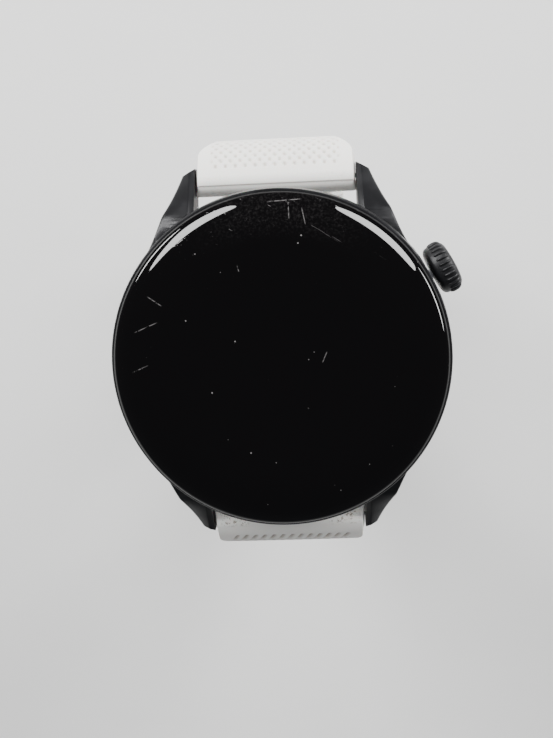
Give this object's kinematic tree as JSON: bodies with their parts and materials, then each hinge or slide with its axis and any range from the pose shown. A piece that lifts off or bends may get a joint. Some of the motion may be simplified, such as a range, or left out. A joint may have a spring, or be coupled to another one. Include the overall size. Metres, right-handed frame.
{
  "type": "smartwatch",
  "caption": "Round smartwatch with domed glass, turning crown, side button, quick-release spring bars and an unbuckled two-piece strap with keepers and pin buckle.",
  "frame": {"origin": "centre of the flat of the back crystal, where the watch meets the wrist", "axes": "+Z out through the cover glass, +Y to 12 o'clock, +X to 3 o'clock on the crown's side"},
  "size_m": [0.0482, 0.0656, 0.102],
  "materials": {
    "black_steel": "satin black coating",
    "cover_glass": "glossy black-backed glass",
    "silicone": "smooth matt off-white silicone with a fine texture",
    "seal_rubber": "matt",
    "dark_plastic": "matt",
    "chassis": "glass-filled, matt",
    "board": "green solder mask",
    "shield_metal": "satin",
    "polished_steel": "polished",
    "battery_foil": "foil pouch",
    "copper": "enamelled copper wire",
    "flex_film": "polyimide film",
    "ferrite": "matt",
    "display": "glossy"
  },
  "bodies": {
    "case": {"case_body": "black_steel", "cover_glass": "cover_glass", "glass_seal": "seal_rubber", "display_panel": "display", "display_flex": "flex_film", "antenna_ring": "dark_plastic", "inner_frame": "chassis", "battery": "battery_foil", "battery_flex": "flex_film", "main_board": "board", "board_shield": "shield_metal", "haptic_motor": "shield_metal", "speaker_module": "dark_plastic", "speaker_mesh": "shield_metal", "microphone": "shield_metal", "rear_cover": "dark_plastic", "rear_seal": "seal_rubber", "back_screw_1": "polished_steel", "back_screw_2": "polished_steel", "back_screw_3": "polished_steel", "back_screw_4": "polished_steel", "back_crystal": "cover_glass", "sensor_baffle": "dark_plastic", "sensor_board": "board", "charging_coil": "copper", "ferrite_sheet": "ferrite", "sensor_flex": "flex_film", "crown_tube": "black_steel", "crown_switch": "dark_plastic", "side_switch": "dark_plastic"},
    "crown_slider": {"crown_plunger": "polished_steel"},
    "crown": {"crown_head": "black_steel", "crown_stem": "polished_steel", "crown_seal": "seal_rubber", "encoder_wheel": "shield_metal"},
    "button": {"side_button": "black_steel", "button_seal": "seal_rubber"},
    "buckle_half": {"buckle_strap": "silicone", "upper_bar_sleeve": "polished_steel", "upper_bar_fixed_tip": "polished_steel", "upper_bar_spring": "polished_steel", "fixed_keeper": "silicone", "buckle_bar": "polished_steel"},
    "tail_half": {"tail_strap": "silicone", "lower_bar_sleeve": "polished_steel", "lower_bar_fixed_tip": "polished_steel", "lower_bar_spring": "polished_steel"},
    "upper_release": {"upper_release_pin": "polished_steel"},
    "lower_release": {"lower_release_pin": "polished_steel"},
    "keeper": {"free_keeper": "silicone"},
    "buckle": {"buckle_frame": "polished_steel"},
    "tongue": {"buckle_tongue": "polished_steel"}
  },
  "joints": [
    {"name": "crown_press", "type": "slide", "parent": "case", "child": "crown_slider", "axis": [-0.8886, -0.4587, 0], "range_m": [0, 0.0005], "stiffness_N_per_m": 2000},
    {"name": "crown_spin", "type": "hinge", "parent": "crown_slider", "child": "crown", "pos_m": [0, 0, 0.0066], "axis": [0.8886, 0.4587, 0], "continuous": true},
    {"name": "button_press", "type": "slide", "parent": "case", "child": "button", "axis": [-0.8805, 0.4741, 0], "range_m": [0, 0.0004], "stiffness_N_per_m": 2000},
    {"name": "buckle_half_swing", "type": "hinge", "parent": "case", "child": "buckle_half", "pos_m": [0, 0.0244, 0.0026], "axis": [1, 0, 0], "range_deg": [-4, 60]},
    {"name": "tail_half_swing", "type": "hinge", "parent": "case", "child": "tail_half", "pos_m": [0, -0.0244, 0.0026], "axis": [-1, 0, 0], "range_deg": [-4, 75]},
    {"name": "upper_release_slide", "type": "slide", "parent": "buckle_half", "child": "upper_release", "axis": [1, 0, 0], "range_m": [0, 0.0011], "stiffness_N_per_m": 500},
    {"name": "lower_release_slide", "type": "slide", "parent": "tail_half", "child": "lower_release", "axis": [1, 0, 0], "range_m": [0, 0.0011], "stiffness_N_per_m": 500},
    {"name": "keeper_slide", "type": "slide", "parent": "buckle_half", "child": "keeper", "axis": [0, 0.3746, 0.9272], "range_m": [0, 0.004]},
    {"name": "buckle_swing", "type": "hinge", "parent": "buckle_half", "child": "buckle", "pos_m": [0, 0.01944, -0.06308], "axis": [1, 0, 0], "range_deg": [-50, 25]},
    {"name": "tongue_swing", "type": "hinge", "parent": "buckle", "child": "tongue", "pos_m": [0, 0.01944, -0.06308], "axis": [1, 0, 0], "range_deg": [0, 85]}
  ]
}
